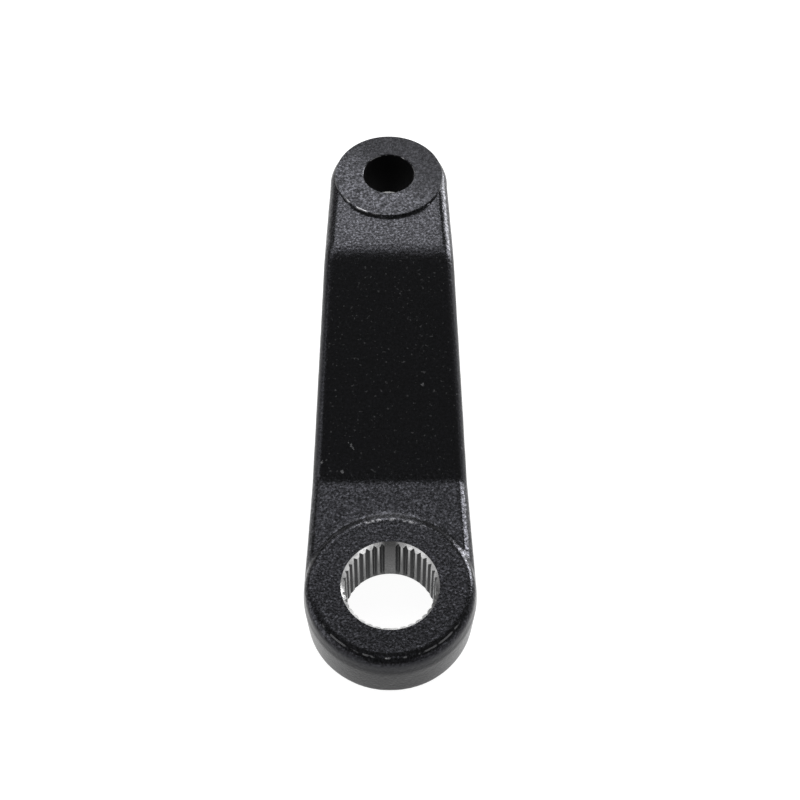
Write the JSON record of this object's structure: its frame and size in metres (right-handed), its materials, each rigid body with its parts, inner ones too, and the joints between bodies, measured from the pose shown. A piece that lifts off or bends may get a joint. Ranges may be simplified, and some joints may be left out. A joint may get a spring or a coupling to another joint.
{
  "type": "pitman arm",
  "caption": "Cranked forged steering lever with a serrated shaft hole in its big round end and a tapered stud hole in its raised small end.",
  "frame": {"origin": "middle of the serrated shaft hole, on its axis", "axes": "+Z along the shaft hole, out of the facing that the nut bears on; +Y towards the small end"},
  "size_m": [0.059, 0.2119, 0.0515],
  "materials": {
    "arm": "semi-gloss black paint over a blasted steel forging, with bare machined serrations"
  },
  "bodies": {
    "root": {"pitman_arm": "arm"}
  },
  "joints": []
}
